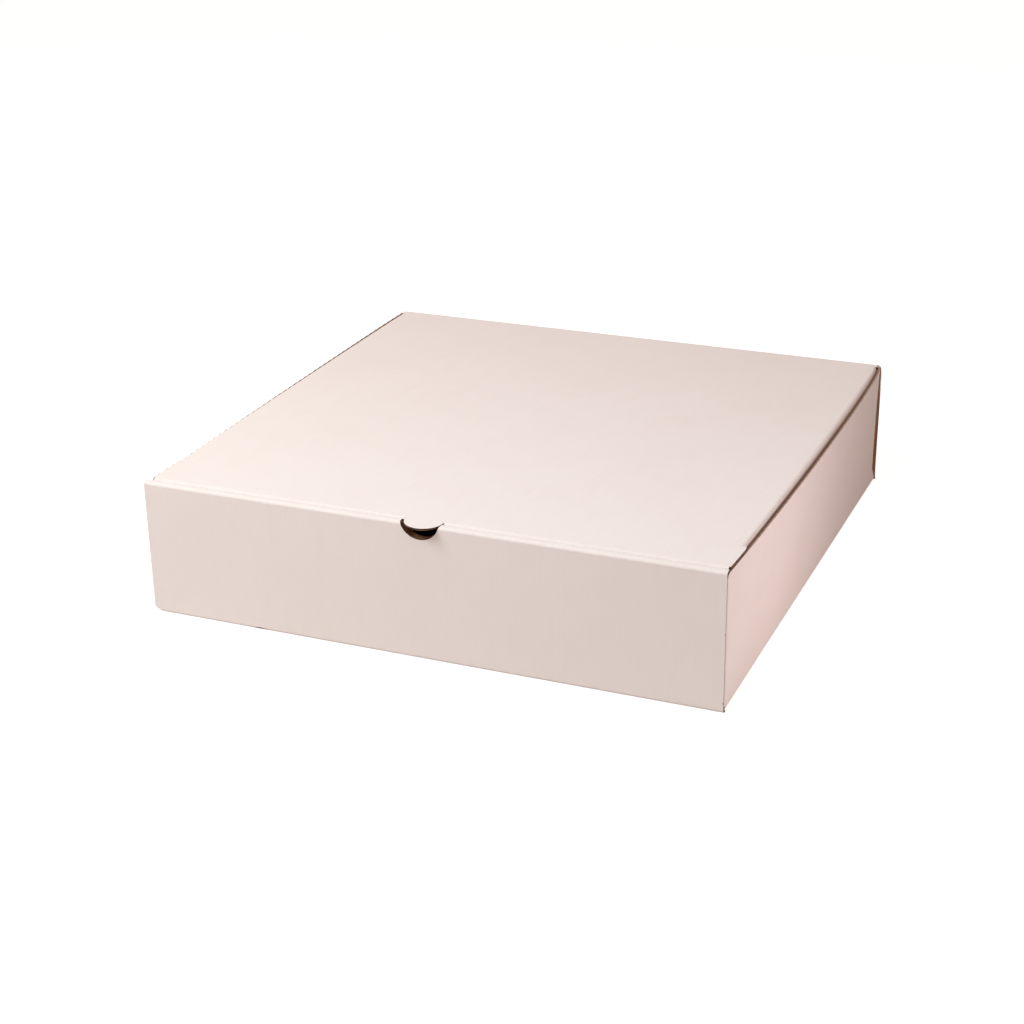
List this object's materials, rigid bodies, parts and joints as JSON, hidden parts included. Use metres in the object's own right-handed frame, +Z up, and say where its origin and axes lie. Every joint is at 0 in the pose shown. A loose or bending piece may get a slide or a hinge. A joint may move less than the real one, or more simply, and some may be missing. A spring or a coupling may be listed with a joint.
{
  "type": "pizza box",
  "caption": "Square folded corrugated-board pizza box with a hinged tuck-in lid, rolled front wall, half-round finger notch and thumb tab.",
  "frame": {"origin": "centre of the floor's underside, on the table", "axes": "+Z up, front wall with the finger notch faces -Y, +X to the right seen from the front"},
  "size_m": [0.3347, 0.3349, 0.078],
  "materials": {
    "tray_board": "matt white-lined corrugated board, brown kraft inside and at cut edges",
    "lid_board": "matt white-lined corrugated board, brown kraft inside and at cut edges"
  },
  "bodies": {
    "tray": {"tray": "tray_board"},
    "lid": {"lid": "lid_board"}
  },
  "joints": [
    {"name": "lid_hinge", "type": "hinge", "parent": "tray", "child": "lid", "pos_m": [0, 0.1642, 0.0758], "axis": [-1, 0, 0], "range_deg": [0, 175]}
  ]
}
